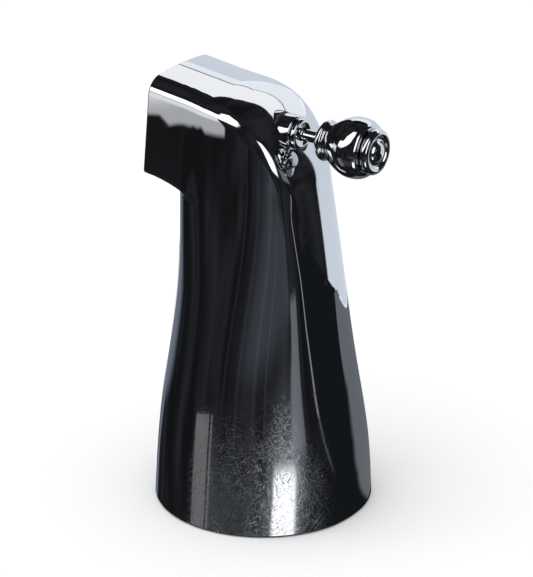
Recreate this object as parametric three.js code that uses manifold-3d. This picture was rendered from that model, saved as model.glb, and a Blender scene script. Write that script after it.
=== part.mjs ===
// Bathtub spout with a pull-up shower diverter, in millimetres.
// The origin is the centre of the wall face, on the axis of the supply pipe. +Z runs away from the wall
// to the nose, +X points to the diverter knob, and the outlet opens towards -X.
import * as THREE from "three";
import { mergeVertices } from "three/addons/utils/BufferGeometryUtils.js";
import Module from "manifold-3d";

const wasm = await Module();
wasm.setup();

// Driving dimensions of the cast shell.
const FLANGE_RADIUS = 35;
const WALL = 2.2;
const NOSE_HALF_WIDTH = 16.5;
const RIM_X = -33.4; // the outlet rim, at height RIM_Z
const RIM_Z = 122;
const RIM_TILT = THREE.MathUtils.degToRad(5);
const TOP_SLOPE = THREE.MathUtils.degToRad(6.8);
const BEND_START = 109.5;
const BEND_RADIUS = 33.9;
const CROWN = 1; // how far the top drops at CROWN_HALF_WIDTH from its middle
const CROWN_HALF_WIDTH = 14;
const UNDERSIDE = { x: -37.8, z: 60.7, radius: 46.3 }; // arc under the nose
const NOSE_BOTTOM_Z = 72;
const NECK_FILL = 2.5; // fillet where the nose grows out of the body
const PANEL_EDGE = 1.3; // rounding between the side panels and the underside
// Rounding between the sides and the top: small on the knob side, growing over a run towards the outlet.
const TOP_EDGE = { knobSide: 2.6, outletSide: 4.8, startX: 2, run: 14 };
// How the side panels draw in towards the knob side, from a line that leans over the height of the nose.
const DRAW_IN = { lowZ: 95, lowX: -14, highZ: 130, highX: 4, easing: 4, rate: 0.04, power: 1.5 };
const FAN_HEIGHT = 88; // below it the sections are level, above it they turn into the nose

// Sections of the tapering body: half depth along X, half width along Y, centre on X, the power of the
// superellipse, and where the flat strip on the knob side lies.
const STATIONS = [
  { z: 0, depth: FLANGE_RADIUS, width: FLANGE_RADIUS, centre: 0, power: 2, strip: 36 },
  { z: 20, depth: 34.2, width: 33, centre: 0, power: 2, strip: 33.5 },
  { z: 45, depth: 31.1, width: 29.1, centre: -0.5, power: 2, strip: 29 },
  { z: 75, depth: 27.4, width: 23.3, centre: -0.6, power: 2.1, strip: 24.5 },
  { z: 105, depth: 25, width: 18.7, centre: -2.4, power: 2.45, strip: 19.8 },
  { z: 140, depth: 21.4, width: 17.2, centre: -4, power: 2.5, strip: 13 },
];

// Clearances.
const FIT = 0.3; // gap between pieces that touch or cut each other
const O_RING_SQUEEZE = 0.15; // gap left round a rubber ring
const CUT_PAST = 1; // how far a cutting shape runs past the material

// Supply side.
const PIPE_BORE_RADIUS = 8.1; // slips over 15.9 mm copper tube
const PIPE_STOP_Z = 34;
const PIPE_GRIP = 0.55; // how far the rings stand into the bore
const COLLAR_BOTTOM_Z = 6;
const COLLAR_TOP_Z = 44;
const COLLAR_RADIUS = 12;
const COLLAR_CHAMFER = 0.6;
const HUB_BOTTOM_Z = 17;
const HUB_TOP_Z = 40;
const HUB_RADIUS = 15;
const RIB_THICKNESS = 2.4;
const SET_SCREW_Z = 11;
const SET_SCREW = { radius: 3, start: -15.2, end: -9, tipRadius: 1.8, socketRadius: 1.7, socketEnd: -12.4 };
const SET_SCREW_BOSS = { radius: 4.8, start: -16.5, end: -10 };
const KEY_SLOT_HALF_WIDTH = 3.5;
const CLIP_GROOVE = { radius: 11, width: 1.5 };
const CLIP = { radius: 14.4, thickness: 1.2, halfGap: 2.2 };
const TUBE_RADIUS = 8.6;
const TUBE_BORE_RADIUS = 6.6;
const TUBE_BOTTOM_Z = 37;
const TUBE_TOP_Z = 109;

// Heights and grooves of the rubber rings.
const INLET_RING_HEIGHTS = { front: 22, rear: 28 };
const TUBE_RING_HEIGHTS = { lower: 41, upper: 104 };
const RING_GROOVE = { halfWidth: 1.35, inletRadius: 9.8, tubeRadius: 7.4 };

// Diverter.
const KNOB_AXIS_Z = 125.7;
const PORT_X = -5;
const PORT_RADIUS = 4;
const SEAT_RADIUS = 5.7;
const SEAT_Z = 121.5;
const GATE_START_X = -21;
const GATE_END_X = -9.9;
const GATE_HALF_WIDTH = 6.6;
const GATE_BOTTOM_Z = 123.9;
const GATE_TOP_Z = 126.7;
const GATE_MIDDLE_X = (GATE_START_X + GATE_END_X) / 2;
const YOKE = { endX: -5.6, halfWidth: 5 };
const POCKET = { startX: -8.6, endX: -6.6, halfWidth: 3 }; // holds the head of the rod
const WASHER_HALF_WIDTH = 5.7;
const BUTTON_HOLE = { radius: 1.8, headRadius: 2.8, headDepth: 1.3 };
const SLEEVE = { wall: 2, bottomZ: 97, topZ: 112.5 };
const BLOCK_BOTTOM_Z = 112;
const SEAT_THICKNESS = 1.7;
const RAIL = { startX: -22.6, endX: 1.5, outer: 9.6, bottomZ: 121, topZ: 128.6, lip: 1.5, lipZ: 127 };
const STOP_THICKNESS = 1.2;
const SCREW_X = -15;
const SCREW_Y = 12.4;
const SCREW = { radius: 1.2, headRadius: 2.4, headHeight: 2, endZ: 127.4, point: 1 };
const SCREW_HOLE_RADIUS = 1.5;
const POST = { radius: 2.3, topZ: 140, holeTopZ: 128.5 };
const EAR_BOTTOM_Z = 116.5;
const EAR_TOP_Z = 120;
const EAR = { halfLength: 3, pastScrew: 1.5 };

// Bonnet, rod and knob.
const BONNET_RADIUS = 5.5;
const BONNET_START_X = 4.3;
const BONNET_END_X = 13.2;
const BONNET_CHAMFER = 0.4;
const BONNET_GROOVE = { x: 7.4, halfWidth: 1, depth: 1.2 };
const BOSS_RADIUS = 8.4; // thickens the shell round the bonnet
const GLAND_START_X = 9.8;
const GLAND_RADIUS = 3.6;
const PACKING = { startX: 11.8, thickness: 0.8 };
const ROD_RADIUS = 1.9;
const ROD_BORE_RADIUS = 2.2;
const ROD_END_X = 34;
const ROD_CHAMFER = 0.6;
const ROD_HEAD = { radius: 2.7, start: -8.3, end: -6.9 };
const NUT_RADIUS = 4.9;
const NUT_END_X = 15.1;
const NUT_CHAMFER = 0.5;
const KNOB_START_X = 21.2;
const KNOB_END_X = 40;
const KNOB_HUB_RADIUS = 3.3;
const KNOB_RADIUS = 9.6;
const BEAD = { x: 24.2, radius: 5.4, size: 1.05 }; // rounded collar of the knob
const BUTTON_STEM = { radius: 3, length: 3.4 };

// Facets of the turned shapes.
const SEGMENTS = 28;
const FINE_SEGMENTS = 32;
const SMALL_SEGMENTS = 20;

// Materials.
const chrome = () => new THREE.MeshStandardMaterial({ color: 0xd9dde2, roughness: 0.06, metalness: 1 });
const brass = () => new THREE.MeshStandardMaterial({ color: 0xb08d46, roughness: 0.35, metalness: 1 });
const steel = () => new THREE.MeshStandardMaterial({ color: 0xa9adb0, roughness: 0.3, metalness: 1 });
const rubber = () => new THREE.MeshStandardMaterial({ color: 0x17181a, roughness: 0.75, metalness: 0 });
const acetal = () => new THREE.MeshStandardMaterial({ color: 0xd8d6cc, roughness: 0.45, metalness: 0 });

// A solid that can be cut and joined, from a closed surface.
function solid(geometry) {
  const bare = geometry.clone();
  bare.deleteAttribute("normal");
  bare.deleteAttribute("uv");
  const merged = mergeVertices(bare, 1e-4);
  const vertProperties = merged.attributes.position.array;
  const triVerts = new Uint32Array(merged.index.array);
  return new wasm.Manifold(new wasm.Mesh({ numProp: 3, vertProperties, triVerts }));
}

// The surface of a finished solid.
function geometryOf(made) {
  const mesh = made.getMesh();
  const geometry = new THREE.BufferGeometry();
  geometry.setAttribute("position", new THREE.BufferAttribute(mesh.vertProperties.slice(), 3));
  geometry.setIndex(new THREE.BufferAttribute(mesh.triVerts.slice(), 1));
  geometry.computeVertexNormals();
  return geometry;
}

const joined = (solids) => solids.reduce((all, next) => all.add(next));

// A solid turned about Z, from a closed outline of [radius, height] points.
function turnedZ(outline, segments = SEGMENTS) {
  const points = outline.map(([radius, height]) => new THREE.Vector2(radius, height));
  points.push(points[0].clone());
  const geometry = new THREE.LatheGeometry(points, segments);
  geometry.rotateX(Math.PI / 2);
  const made = solid(geometry);
  if (made.volume() > 0) return made;
  points.reverse();
  const flipped = new THREE.LatheGeometry(points, segments);
  flipped.rotateX(Math.PI / 2);
  return solid(flipped);
}

// The same about the knob axis, from [radius, x] points.
function turnedX(outline, segments = SEGMENTS) {
  const made = turnedZ(outline, segments);
  return made.rotate([0, 90, 0]).translate([0, 0, KNOB_AXIS_Z]);
}

const ringOutline = (inner, outer, start, end) => [
  [inner, start],
  [outer, start],
  [outer, end],
  [inner, end],
];

function box(x0, x1, y0, y1, z0, z1) {
  const geometry = new THREE.BoxGeometry(x1 - x0, y1 - y0, z1 - z0);
  geometry.translate((x0 + x1) / 2, (y0 + y1) / 2, (z0 + z1) / 2);
  return solid(geometry);
}

function cylinder(radius, start, end, segments = SEGMENTS) {
  const geometry = new THREE.CylinderGeometry(radius, radius, end - start, segments);
  geometry.rotateX(Math.PI / 2);
  geometry.translate(0, 0, (start + end) / 2);
  return solid(geometry);
}

const cylinderX = (radius, start, end, z, segments = SEGMENTS) =>
  cylinder(radius, start, end, segments).rotate([0, 90, 0]).translate([0, 0, z]);

// A rubber ring that fills the groove between two radii, centred at a height.
function oRing(inner, outer, height) {
  const section = (outer - inner) / 2 - O_RING_SQUEEZE;
  const geometry = new THREE.TorusGeometry((inner + outer) / 2, section, 6, 24);
  return solid(geometry).translate([0, 0, height]);
}

// ---------------------------------------------------------------- shape of the shell

const smoothStep = (t) => {
  const c = Math.min(Math.max(t, 0), 1);
  return c * c * (3 - 2 * c);
};

// Intersection of two distances with its outside corner rounded.
function roundedCorner(a, b, radius) {
  const u = Math.max(radius + a, 0);
  const v = Math.max(radius + b, 0);
  return Math.min(-radius, Math.max(a, b)) + Math.hypot(u, v);
}

// Union of two distances with its inside corner filled.
function filledCorner(a, b, size) {
  const h = Math.max(size - Math.abs(a - b), 0) / size;
  return Math.min(a, b) - (h * h * h * size) / 6;
}

// One dimension of the body at a height, on a smooth curve through the stations.
function station(name, height) {
  const z = Math.min(Math.max(height, 0), STATIONS.at(-1).z);
  const i = Math.min(
    STATIONS.findLastIndex((s) => s.z <= z),
    STATIONS.length - 2,
  );
  const slope = (k) => {
    const before = STATIONS[Math.max(k - 1, 0)];
    const after = STATIONS[Math.min(k + 1, STATIONS.length - 1)];
    return (after[name] - before[name]) / (after.z - before.z);
  };
  const [low, high] = [STATIONS[i], STATIONS[i + 1]];
  const span = high.z - low.z;
  const t = (z - low.z) / span;
  const bow = t * (1 - t) * span;
  const eased = smoothStep(t);
  return (
    low[name] * (1 - eased) + high[name] * eased + bow * (slope(i) * (1 - t) - slope(i + 1) * t)
  );
}

// Where the strip on the knob side turns into the bend, and the bend into the top.
const bend = (() => {
  const step = 0.01;
  const lean = Math.atan(
    (station("strip", BEND_START - step) - station("strip", BEND_START + step)) / (2 * step),
  );
  const x = station("strip", BEND_START) - BEND_RADIUS * Math.cos(lean);
  const z = BEND_START - BEND_RADIUS * Math.sin(lean);
  return { lean, x, z, end: Math.PI / 2 - TOP_SLOPE };
})();

// Distance outside the tapering body.
function bodyDistance(x, y, z) {
  const dx = x - station("centre", z);
  const depth = station("depth", z);
  const width = station("width", z);
  const power = station("power", z);
  const g = ((Math.abs(dx) / depth) ** power + (Math.abs(y) / width) ** power) ** (1 / power);
  return g < 1e-9 ? -Math.min(depth, width) : ((g - 1) * Math.hypot(dx, y)) / g;
}

// Distance outside the surface that runs up the strip, round the bend and along the top.
function ridgeDistance(x, y, z) {
  const [dx, dz] = [x - bend.x, z - bend.z];
  const crown = CROWN * (y / CROWN_HALF_WIDTH) ** 2;
  const angle = Math.atan2(dz, dx);
  if (angle > bend.end) return dx * Math.cos(bend.end) + dz * Math.sin(bend.end) - BEND_RADIUS + crown;
  if (angle >= bend.lean) return Math.hypot(dx, dz) - BEND_RADIUS + crown;
  return (x - station("strip", z)) * Math.cos(bend.lean) + crown;
}

// Distance outside the nose: two flat side panels above an arched underside. On the knob side the panels
// draw in towards the strip.
function noseDistance(x, y, z) {
  const { lowZ, lowX, highZ, highX, easing, rate, power } = DRAW_IN;
  const height = THREE.MathUtils.clamp(z, lowZ, highZ);
  const past = x - THREE.MathUtils.mapLinear(height, lowZ, highZ, lowX, highX);
  const drawnIn = rate * ((past + Math.hypot(past, easing)) / 2) ** power;
  const side = Math.abs(y) - NOSE_HALF_WIDTH + drawnIn;
  const under = UNDERSIDE.radius - Math.hypot(x - UNDERSIDE.x, z - UNDERSIDE.z);
  return Math.max(roundedCorner(side, under, PANEL_EDGE), NOSE_BOTTOM_Z - z);
}

function shellDistance(x, y, z) {
  const sides = filledCorner(bodyDistance(x, y, z), noseDistance(x, y, z), NECK_FILL);
  const towardsOutlet = smoothStep((TOP_EDGE.startX - x) / TOP_EDGE.run);
  const edge = THREE.MathUtils.lerp(TOP_EDGE.knobSide, TOP_EDGE.outletSide, towardsOutlet);
  return roundedCorner(sides, ridgeDistance(x, y, z), edge);
}

// Centre and in-plane direction of each section, level up the body and then fanned into the nose about
// the line where the level plane at FAN_HEIGHT meets the plane of the outlet rim.
function shellSections(levels, fans) {
  const list = [];
  for (let i = 0; i < levels; i += 1) {
    const z = (FAN_HEIGHT * i) / levels;
    list.push({ x: station("centre", z), z, dx: 1, dz: 0 });
  }
  const pivotX = RIM_X + (FAN_HEIGHT - RIM_Z) * Math.tan(RIM_TILT);
  const startReach = station("centre", FAN_HEIGHT) - pivotX;
  const endReach = (RIM_Z + 2 - FAN_HEIGHT) / Math.cos(RIM_TILT);
  for (let i = 0; i <= fans; i += 1) {
    const t = i / fans;
    const angle = (Math.PI / 2 - RIM_TILT) * t;
    const reach = THREE.MathUtils.lerp(startReach, endReach, smoothStep(t));
    const [dx, dz] = [Math.cos(angle), Math.sin(angle)];
    list.push({ x: pivotX + reach * dx, z: FAN_HEIGHT + reach * dz, dx, dz });
  }
  return list;
}

// The point where a ray from a section's centre leaves the shell drawn in by an inset.
function surfacePoint(section, angle, inset) {
  const ray = new THREE.Vector3(
    Math.cos(angle) * section.dx,
    Math.sin(angle),
    Math.cos(angle) * section.dz,
  );
  const at = (reach) => new THREE.Vector3(section.x, 0, section.z).addScaledVector(ray, reach);
  const outside = (reach) => {
    const point = at(reach);
    return shellDistance(point.x, point.y, point.z) + inset > 0;
  };
  let far = 1;
  while (!outside(far)) far += 1;
  let near = far - 1;
  for (let i = 0; i < 22; i += 1) {
    const middle = (near + far) / 2;
    if (outside(middle)) far = middle;
    else near = middle;
  }
  return at(near);
}

// The solid inside the shell's surface drawn in by an inset, run on past both ends by an overrun.
function shellSolid(inset, overrun) {
  const around = 48;
  const rings = shellSections(14, 15).map((section) =>
    Array.from({ length: around }, (_, j) =>
      surfacePoint(section, (2 * Math.PI * (j + 0.5)) / around, inset),
    ),
  );
  if (overrun > 0) {
    const outOfNose = new THREE.Vector3(-Math.cos(RIM_TILT), 0, Math.sin(RIM_TILT));
    const shifted = (ring, way) => ring.map((p) => p.clone().addScaledVector(way, overrun));
    rings.unshift(shifted(rings[0], new THREE.Vector3(0, 0, -1)));
    rings.push(shifted(rings.at(-1), outOfNose));
  }
  const middleOf = (ring) =>
    ring.reduce((sum, p) => sum.add(p), new THREE.Vector3()).divideScalar(around);
  const points = [...rings.flat(), middleOf(rings[0]), middleOf(rings.at(-1))];
  const last = rings.length - 1;
  const [bottom, top] = [points.length - 2, points.length - 1];
  const index = [];
  for (let j = 0; j < around; j += 1) {
    const k = (j + 1) % around;
    for (let i = 0; i < last; i += 1) {
      const [a, b] = [i * around + j, i * around + k];
      const [c, d] = [b + around, a + around];
      index.push(a, b, c, a, c, d);
    }
    index.push(bottom, k, j, top, last * around + j, last * around + k);
  }
  const geometry = new THREE.BufferGeometry().setFromPoints(points);
  geometry.setIndex(index);
  return solid(geometry);
}

// ---------------------------------------------------------------- pieces

// The same shape on both sides of the middle plane.
const onBothSides = (made) => [made, made.mirror([0, 1, 0])];

const atScrew = (made) => made.translate([SCREW_X, SCREW_Y, 0]);

function spoutShell() {
  const hub = turnedZ(ringOutline(COLLAR_RADIUS + FIT, HUB_RADIUS, HUB_BOTTOM_Z, HUB_TOP_Z));
  const rib = box(
    HUB_RADIUS - CUT_PAST,
    FLANGE_RADIUS,
    -RIB_THICKNESS / 2,
    RIB_THICKNESS / 2,
    HUB_BOTTOM_Z,
    HUB_TOP_Z,
  );
  const ribs = [45, 135, 225, 315].map((turn) => rib.rotate([0, 0, turn]));
  const post = atScrew(cylinder(POST.radius, EAR_TOP_Z + FIT, POST.topZ, SMALL_SEGMENTS));
  const boss = cylinderX(BOSS_RADIUS, BONNET_START_X + 0.5, BONNET_END_X + 2, KNOB_AXIS_Z);
  const castings = joined([hub, ...ribs, ...onBothSides(post), boss]);

  const bonnetHole = cylinderX(BONNET_RADIUS + FIT, 0, BONNET_END_X + 10, KNOB_AXIS_Z);
  const pilot = atScrew(cylinder(SCREW_HOLE_RADIUS, EAR_TOP_Z, POST.holeTopZ, SMALL_SEGMENTS));
  const slotStart = -FLANGE_RADIUS - CUT_PAST;
  const slotEnd = -FLANGE_RADIUS / 1.5;
  const keySlot = joined([
    box(slotStart, slotEnd, -KEY_SLOT_HALF_WIDTH, KEY_SLOT_HALF_WIDTH, -CUT_PAST, SET_SCREW_Z),
    cylinderX(KEY_SLOT_HALF_WIDTH, slotStart, slotEnd, SET_SCREW_Z),
  ]);
  return shellSolid(0, 0)
    .subtract(shellSolid(WALL, 2))
    .add(castings.intersect(shellSolid(WALL / 3, 0)))
    .subtract(joined([bonnetHole, ...onBothSides(pilot), keySlot]));
}

function inletCollar() {
  const tubeSocket = TUBE_RADIUS + FIT;
  const grooveStart = HUB_TOP_Z + FIT;
  const grooveEnd = grooveStart + CLIP_GROOVE.width;
  const body = turnedZ([
    [PIPE_BORE_RADIUS, COLLAR_BOTTOM_Z],
    [COLLAR_RADIUS - COLLAR_CHAMFER, COLLAR_BOTTOM_Z],
    [COLLAR_RADIUS, COLLAR_BOTTOM_Z + COLLAR_CHAMFER],
    [COLLAR_RADIUS, grooveStart],
    [CLIP_GROOVE.radius, grooveStart],
    [CLIP_GROOVE.radius, grooveEnd],
    [COLLAR_RADIUS, grooveEnd],
    [COLLAR_RADIUS, COLLAR_TOP_Z],
    [tubeSocket, COLLAR_TOP_Z],
    [tubeSocket, TUBE_BOTTOM_Z],
    [TUBE_BORE_RADIUS, TUBE_BOTTOM_Z],
    [TUBE_BORE_RADIUS, PIPE_STOP_Z],
    [PIPE_BORE_RADIUS, PIPE_STOP_Z],
  ]);
  const { radius, start, end } = SET_SCREW_BOSS;
  const screwBoss = cylinderX(radius, start, end, SET_SCREW_Z, FINE_SEGMENTS);
  const bore = cylinder(PIPE_BORE_RADIUS, 0, PIPE_STOP_Z - CUT_PAST);
  const groove = ringOutline(
    PIPE_BORE_RADIUS - CUT_PAST,
    RING_GROOVE.inletRadius,
    -RING_GROOVE.halfWidth,
    RING_GROOVE.halfWidth,
  );
  const grooves = Object.values(INLET_RING_HEIGHTS).map((z) => turnedZ(groove).translate([0, 0, z]));
  const holeStart = start - CUT_PAST;
  const holeEnd = -PIPE_BORE_RADIUS + CUT_PAST;
  const screwHole = cylinderX(SET_SCREW.radius + FIT, holeStart, holeEnd, SET_SCREW_Z);
  return body.add(screwBoss).subtract(joined([bore, ...grooves, screwHole]));
}

const inletRing = (height) => oRing(PIPE_BORE_RADIUS - PIPE_GRIP, RING_GROOVE.inletRadius, height);

// Cup screw that clamps the collar on the pipe, with a hexagon socket.
function clampSetScrew() {
  const { radius, start, end, tipRadius, socketRadius, socketEnd } = SET_SCREW;
  const chamfer = 0.4;
  const body = turnedZ([
    [0, start],
    [radius - chamfer, start],
    [radius, start + chamfer],
    [radius, end - (radius - tipRadius)],
    [tipRadius, end],
    [0, end],
  ]);
  const socket = cylinder(socketRadius, start - CUT_PAST, socketEnd, 6);
  return body.subtract(socket).rotate([0, 90, 0]).translate([0, 0, SET_SCREW_Z]);
}

// Open ring that snaps into the collar's groove above the hub.
function collarRetainingClip() {
  const lift = HUB_TOP_Z + FIT + O_RING_SQUEEZE;
  const { radius, thickness, halfGap } = CLIP;
  const ring = turnedZ(ringOutline(CLIP_GROOVE.radius + FIT, radius, lift, lift + thickness), 36);
  const [below, above] = [lift - CUT_PAST, lift + thickness + CUT_PAST];
  const gap = box(CLIP_GROOVE.radius - CUT_PAST, radius + CUT_PAST, -halfGap, halfGap, below, above);
  return ring.subtract(gap);
}

function waterwayTube() {
  const groove = (z) => [
    [TUBE_RADIUS, z - RING_GROOVE.halfWidth],
    [RING_GROOVE.tubeRadius, z - RING_GROOVE.halfWidth],
    [RING_GROOVE.tubeRadius, z + RING_GROOVE.halfWidth],
    [TUBE_RADIUS, z + RING_GROOVE.halfWidth],
  ];
  return turnedZ([
    [TUBE_BORE_RADIUS, TUBE_BOTTOM_Z + FIT],
    [TUBE_RADIUS, TUBE_BOTTOM_Z + FIT],
    ...groove(TUBE_RING_HEIGHTS.lower),
    ...groove(TUBE_RING_HEIGHTS.upper),
    [TUBE_RADIUS, TUBE_TOP_Z],
    [TUBE_BORE_RADIUS, TUBE_TOP_Z],
  ]);
}

const tubeRing = (height) => oRing(RING_GROOVE.tubeRadius, TUBE_RADIUS + FIT, height);

// Moulded block with the socket of the waterway tube below, the port, and rails for the gate above.
function diverterBody() {
  const socket = TUBE_RADIUS + FIT;
  const slot = GATE_HALF_WIDTH + FIT;
  const sleeve = cylinder(socket + SLEEVE.wall, SLEEVE.bottomZ, SLEEVE.topZ);
  const block = box(RAIL.startX, RAIL.endX + 2, -RAIL.outer, RAIL.outer, BLOCK_BOTTOM_Z, SEAT_Z);
  const rail = box(RAIL.startX, RAIL.endX, slot, RAIL.outer, RAIL.bottomZ, RAIL.topZ);
  const lip = box(RAIL.startX, RAIL.endX, slot - RAIL.lip, RAIL.outer, RAIL.lipZ, RAIL.topZ);
  const stopEnd = RAIL.startX + STOP_THICKNESS;
  const stop = box(RAIL.startX, stopEnd, -RAIL.outer, RAIL.outer, RAIL.bottomZ, GATE_TOP_Z);
  const earEnd = SCREW_Y + EAR.pastScrew;
  const ears = box(
    SCREW_X - EAR.halfLength,
    SCREW_X + EAR.halfLength,
    -earEnd,
    earEnd,
    EAR_BOTTOM_Z,
    EAR_TOP_Z,
  );
  const made = joined([sleeve, block, ...onBothSides(rail.add(lip)), stop, ears]);

  const above = SEAT_Z + CUT_PAST;
  const socketHole = cylinder(socket, SLEEVE.bottomZ - CUT_PAST, TUBE_TOP_Z + FIT);
  const port = cylinder(PORT_RADIUS, TUBE_TOP_Z - CUT_PAST, above).translate([PORT_X, 0, 0]);
  const pocketBottom = SEAT_Z - SEAT_THICKNESS - FIT;
  const seatPocket = cylinder(SEAT_RADIUS + FIT, pocketBottom, above).translate([PORT_X, 0, 0]);
  const screwHole = atScrew(cylinder(SCREW_HOLE_RADIUS, 110, EAR_TOP_Z + CUT_PAST, SMALL_SEGMENTS));
  return made.subtract(joined([socketHole, port, seatPocket, ...onBothSides(screwHole)]));
}

const valveSeat = () =>
  turnedZ(ringOutline(PORT_RADIUS, SEAT_RADIUS, SEAT_Z - SEAT_THICKNESS, SEAT_Z)).translate([PORT_X, 0, 0]);

function diverterScrew(side) {
  const headEnd = EAR_BOTTOM_Z - FIT;
  const outline = [
    [0, EAR_BOTTOM_Z - SCREW.headHeight],
    [SCREW.headRadius - 0.4, EAR_BOTTOM_Z - SCREW.headHeight + 0.2],
    [SCREW.headRadius, headEnd],
    [SCREW.radius, headEnd],
    [SCREW.radius, SCREW.endZ - SCREW.point],
    [0, SCREW.endZ],
  ];
  return turnedZ(outline, 24).translate([SCREW_X, side * SCREW_Y, 0]);
}

// Sliding gate: a plate that covers the port when it is lifted, with a fork that holds the rod's head.
function gatePlate() {
  const [bottom, top] = [GATE_BOTTOM_Z, GATE_TOP_Z];
  const [below, above] = [GATE_BOTTOM_Z - CUT_PAST, GATE_TOP_Z + CUT_PAST];
  const plate = box(GATE_START_X, GATE_END_X, -GATE_HALF_WIDTH, GATE_HALF_WIDTH, bottom, top);
  const yoke = box(GATE_END_X - 1, YOKE.endX, -YOKE.halfWidth, YOKE.halfWidth, bottom, top);
  const pocket = box(POCKET.startX, POCKET.endX, -POCKET.halfWidth, POCKET.halfWidth, below, above);
  const neckStart = POCKET.endX - 0.4;
  const neck = box(neckStart, YOKE.endX + 1, -ROD_BORE_RADIUS, ROD_BORE_RADIUS, below, above);
  const { radius, headRadius, headDepth } = BUTTON_HOLE;
  const buttonHole = cylinder(radius, below, above, 24).translate([GATE_MIDDLE_X, 0, 0]);
  const counterbore = cylinder(headRadius, top - headDepth, above, 24).translate([GATE_MIDDLE_X, 0, 0]);
  return plate.add(yoke).subtract(joined([pocket, neck, buttonHole, counterbore]));
}

// Rubber facing under the gate, held by its own button through the plate.
function gateWasher() {
  const pad = box(
    GATE_START_X + FIT,
    GATE_END_X - FIT,
    -WASHER_HALF_WIDTH,
    WASHER_HALF_WIDTH,
    SEAT_Z + FIT,
    GATE_BOTTOM_Z - FIT,
  );
  const stem = BUTTON_HOLE.radius - FIT;
  const head = BUTTON_HOLE.headRadius - FIT;
  const outline = [
    [0, GATE_BOTTOM_Z - 1],
    [stem, GATE_BOTTOM_Z - 1],
    [stem, GATE_TOP_Z - 1],
    [head, GATE_TOP_Z - 1],
    [head - 0.3, GATE_TOP_Z],
    [0, GATE_TOP_Z],
  ];
  return pad.add(turnedZ(outline, 24).translate([GATE_MIDDLE_X, 0, 0]));
}

// Threaded insert that carries the rod through the shell.
function bonnet() {
  const { x, halfWidth, depth } = BONNET_GROOVE;
  return turnedX([
    [ROD_BORE_RADIUS, BONNET_START_X],
    [BONNET_RADIUS, BONNET_START_X],
    [BONNET_RADIUS, x - halfWidth],
    [BONNET_RADIUS - depth, x - halfWidth],
    [BONNET_RADIUS - depth, x + halfWidth],
    [BONNET_RADIUS, x + halfWidth],
    [BONNET_RADIUS, BONNET_END_X - BONNET_CHAMFER],
    [BONNET_RADIUS - BONNET_CHAMFER, BONNET_END_X],
    [GLAND_RADIUS, BONNET_END_X],
    [GLAND_RADIUS, GLAND_START_X],
    [ROD_BORE_RADIUS, GLAND_START_X],
  ], FINE_SEGMENTS);
}

const aboutRod = (made) => made.rotate([0, 90, 0]).translate([0, 0, KNOB_AXIS_Z]);

const bonnetRing = () =>
  aboutRod(oRing(BONNET_RADIUS - BONNET_GROOVE.depth, BONNET_RADIUS + FIT, BONNET_GROOVE.x));

const stemRing = () => aboutRod(oRing(ROD_RADIUS, GLAND_RADIUS, GLAND_START_X + 1));

function packingWasher() {
  const { startX, thickness } = PACKING;
  return turnedX(ringOutline(ROD_BORE_RADIUS, GLAND_RADIUS - FIT, startX, startX + thickness));
}

function bonnetNut() {
  const spigot = GLAND_RADIUS - FIT;
  const spigotStart = PACKING.startX + PACKING.thickness + FIT;
  const start = BONNET_END_X + FIT;
  return turnedX([
    [ROD_BORE_RADIUS, spigotStart],
    [spigot, spigotStart],
    [spigot, start],
    [NUT_RADIUS - NUT_CHAMFER, start],
    [NUT_RADIUS, start + NUT_CHAMFER],
    [NUT_RADIUS, NUT_END_X - NUT_CHAMFER],
    [NUT_RADIUS - NUT_CHAMFER, NUT_END_X],
    [ROD_BORE_RADIUS, NUT_END_X],
  ], FINE_SEGMENTS);
}

const liftRod = () =>
  turnedX([
    [0, ROD_HEAD.start],
    [ROD_HEAD.radius, ROD_HEAD.start],
    [ROD_HEAD.radius, ROD_HEAD.end],
    [ROD_RADIUS, ROD_HEAD.end],
    [ROD_RADIUS, ROD_END_X - ROD_CHAMFER],
    [ROD_RADIUS - ROD_CHAMFER, ROD_END_X],
    [0, ROD_END_X],
  ]);

const turnedFromPath = (path) => turnedX(path.getPoints(3).map((p) => [p.y, p.x]), FINE_SEGMENTS);

// Outline of the knob as a path of (x, radius): a beaded collar, a waist and a pear.
function knobBody() {
  const socketX = KNOB_END_X - BUTTON_STEM.length - FIT;
  const outline = new THREE.Path();
  outline.moveTo(KNOB_START_X, ROD_BORE_RADIUS);
  outline.lineTo(KNOB_START_X, KNOB_HUB_RADIUS);
  outline.quadraticCurveTo(BEAD.x - 1.6, KNOB_HUB_RADIUS + 0.6, BEAD.x - BEAD.size, BEAD.radius);
  outline.absarc(BEAD.x, BEAD.radius, BEAD.size, Math.PI * 0.87, Math.PI * 0.1, true);
  outline.quadraticCurveTo(BEAD.x + 1.2, BEAD.radius - 0.1, BEAD.x + 1.6, BEAD.radius + 0.2);
  outline.bezierCurveTo(28.6, 7, 31.4, KNOB_RADIUS, 35, KNOB_RADIUS);
  outline.quadraticCurveTo(38.2, KNOB_RADIUS, 39.5, 8.3);
  outline.lineTo(KNOB_END_X, 7.2);
  outline.lineTo(KNOB_END_X, BUTTON_STEM.radius + FIT);
  outline.lineTo(socketX, BUTTON_STEM.radius + FIT);
  outline.lineTo(socketX, ROD_BORE_RADIUS);
  return turnedFromPath(outline);
}

// Turned button pressed into the knob's end: a rounded rim round a dished face with a raised middle.
function knobEndButton() {
  const start = KNOB_END_X + FIT;
  const outline = new THREE.Path();
  outline.moveTo(start - BUTTON_STEM.length, 0);
  outline.lineTo(start - BUTTON_STEM.length, BUTTON_STEM.radius);
  outline.lineTo(start, BUTTON_STEM.radius);
  outline.lineTo(start, 6.3);
  outline.bezierCurveTo(start + 0.2, 7.5, start + 2.2, 7.6, start + 2.7, 6.3);
  outline.quadraticCurveTo(start + 3, 5.4, start + 2.1, 4.7);
  outline.quadraticCurveTo(start + 1.7, 4, start + 2.4, 3.3);
  outline.bezierCurveTo(start + 3.2, 2.8, start + 3.5, 1.6, start + 3.5, 0);
  return turnedFromPath(outline);
}

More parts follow.
